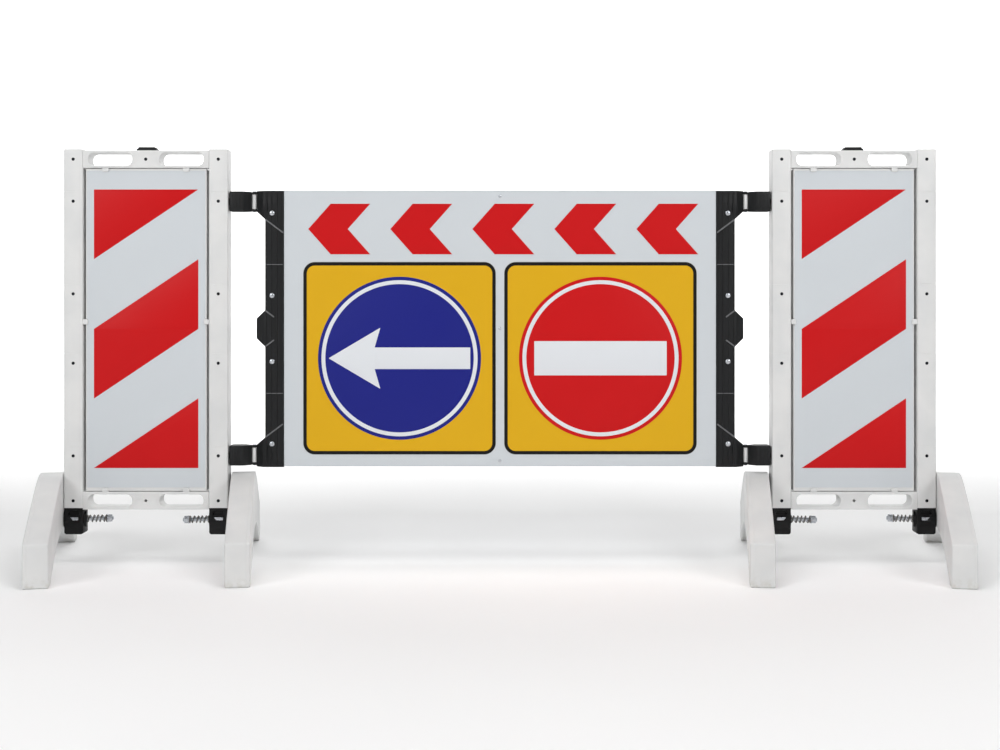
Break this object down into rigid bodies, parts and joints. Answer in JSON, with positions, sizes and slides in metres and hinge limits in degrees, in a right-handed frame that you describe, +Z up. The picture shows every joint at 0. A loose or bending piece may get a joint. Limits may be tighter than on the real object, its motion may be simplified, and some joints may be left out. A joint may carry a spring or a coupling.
{
  "type": "type three barricade",
  "caption": "Folding road barrier: a framed sign unit with chevrons hinged between two striped board towers on arched feet.",
  "frame": {"origin": "on the floor, under the middle of the sign unit and of the frame depth", "axes": "+Z up, +X along the barrier to the right as seen from the front, signs face -Y"},
  "size_m": [2.3934, 0.7181, 1.0205],
  "materials": {
    "white_plastic": "satin moulded plastic",
    "black_plastic": "matte moulded plastic",
    "white_film": "reflective sheeting",
    "red_film": "printed reflective sheeting",
    "yellow_film": "printed reflective sheeting",
    "zinc_steel": "zinc plated"
  },
  "bodies": {
    "sign_unit": {"sign_plate": "zinc_steel", "sign_film": "white_film", "chevron_decals": "red_film", "left_sign_sheet": "yellow_film", "right_sign_sheet": "yellow_film", "left_end_frame": "black_plastic", "right_end_frame": "black_plastic", "left_frame_rivets": "zinc_steel", "right_frame_rivets": "zinc_steel", "panel_rivets": "zinc_steel", "rear_stiffener": "zinc_steel", "left_hinge_pins": "zinc_steel", "right_hinge_pins": "zinc_steel", "left_hinge_sleeves": "white_plastic", "right_hinge_sleeves": "white_plastic"},
    "left_tower": {"left_outer_post": "white_plastic", "left_inner_post": "white_plastic", "left_top_rail": "white_plastic", "left_bottom_rail": "white_plastic", "left_board": "white_plastic", "left_board_film": "white_film", "left_board_clips": "white_plastic", "left_post_screws": "black_plastic", "left_lamp_socket": "black_plastic", "left_hinge_blocks": "black_plastic", "left_outer_bracket": "black_plastic", "left_inner_bracket": "black_plastic", "left_outer_spring": "zinc_steel", "left_inner_spring": "zinc_steel"},
    "left_outer_bolt_unit": {"left_outer_bolt": "zinc_steel", "left_outer_nut": "zinc_steel"},
    "left_outer_foot_body": {"left_outer_foot": "white_plastic"},
    "left_inner_bolt_unit": {"left_inner_bolt": "zinc_steel", "left_inner_nut": "zinc_steel"},
    "left_inner_foot_body": {"left_inner_foot": "white_plastic"},
    "right_tower": {"right_outer_post": "white_plastic", "right_inner_post": "white_plastic", "right_top_rail": "white_plastic", "right_bottom_rail": "white_plastic", "right_board": "white_plastic", "right_board_film": "white_film", "right_board_clips": "white_plastic", "right_post_screws": "black_plastic", "right_lamp_socket": "black_plastic", "right_hinge_blocks": "black_plastic", "right_outer_bracket": "black_plastic", "right_inner_bracket": "black_plastic", "right_outer_spring": "zinc_steel", "right_inner_spring": "zinc_steel"},
    "right_outer_bolt_unit": {"right_outer_bolt": "zinc_steel", "right_outer_nut": "zinc_steel"},
    "right_outer_foot_body": {"right_outer_foot": "white_plastic"},
    "right_inner_bolt_unit": {"right_inner_bolt": "zinc_steel", "right_inner_nut": "zinc_steel"},
    "right_inner_foot_body": {"right_inner_foot": "white_plastic"}
  },
  "joints": [
    {"name": "left_tower_swing", "type": "hinge", "parent": "sign_unit", "child": "left_tower", "pos_m": [-0.6055, 0, 0.575], "axis": [0, 0, 1], "range_deg": [-83, 83]},
    {"name": "left_outer_foot_pull", "type": "slide", "parent": "left_tower", "child": "left_outer_bolt_unit", "axis": [-0.9816, -0.1908, 0], "range_m": [0, 0.015], "stiffness_N_per_m": 4000, "springref_m": -0.01, "deforming": ["left_outer_spring"]},
    {"name": "left_outer_foot_turn", "type": "hinge", "parent": "left_outer_bolt_unit", "child": "left_outer_foot_body", "pos_m": [-1.04575, 0, 0.105], "axis": [-0.9816, -0.1908, 0], "range_deg": [0, 90]},
    {"name": "left_inner_foot_pull", "type": "slide", "parent": "left_tower", "child": "left_inner_bolt_unit", "axis": [0.9914, 0.1305, 0], "range_m": [0, 0.015], "stiffness_N_per_m": 4000, "springref_m": -0.01, "deforming": ["left_inner_spring"]},
    {"name": "left_inner_foot_turn", "type": "hinge", "parent": "left_inner_bolt_unit", "child": "left_inner_foot_body", "pos_m": [-0.69025, 0, 0.105], "axis": [0.9914, 0.1305, 0], "range_deg": [-12, 12]},
    {"name": "right_tower_swing", "type": "hinge", "parent": "sign_unit", "child": "right_tower", "pos_m": [0.6055, 0, 0.575], "axis": [0, 0, 1], "range_deg": [-83, 83]},
    {"name": "right_outer_foot_pull", "type": "slide", "parent": "right_tower", "child": "right_outer_bolt_unit", "axis": [0.9816, -0.1908, 0], "range_m": [0, 0.015], "stiffness_N_per_m": 4000, "springref_m": -0.01, "deforming": ["right_outer_spring"]},
    {"name": "right_outer_foot_turn", "type": "hinge", "parent": "right_outer_bolt_unit", "child": "right_outer_foot_body", "pos_m": [1.04575, 0, 0.105], "axis": [0.9816, -0.1908, 0], "range_deg": [0, 90]},
    {"name": "right_inner_foot_pull", "type": "slide", "parent": "right_tower", "child": "right_inner_bolt_unit", "axis": [-0.9914, 0.1305, 0], "range_m": [0, 0.015], "stiffness_N_per_m": 4000, "springref_m": -0.01, "deforming": ["right_inner_spring"]},
    {"name": "right_inner_foot_turn", "type": "hinge", "parent": "right_inner_bolt_unit", "child": "right_inner_foot_body", "pos_m": [0.69025, 0, 0.105], "axis": [-0.9914, 0.1305, 0], "range_deg": [-12, 12]}
  ]
}
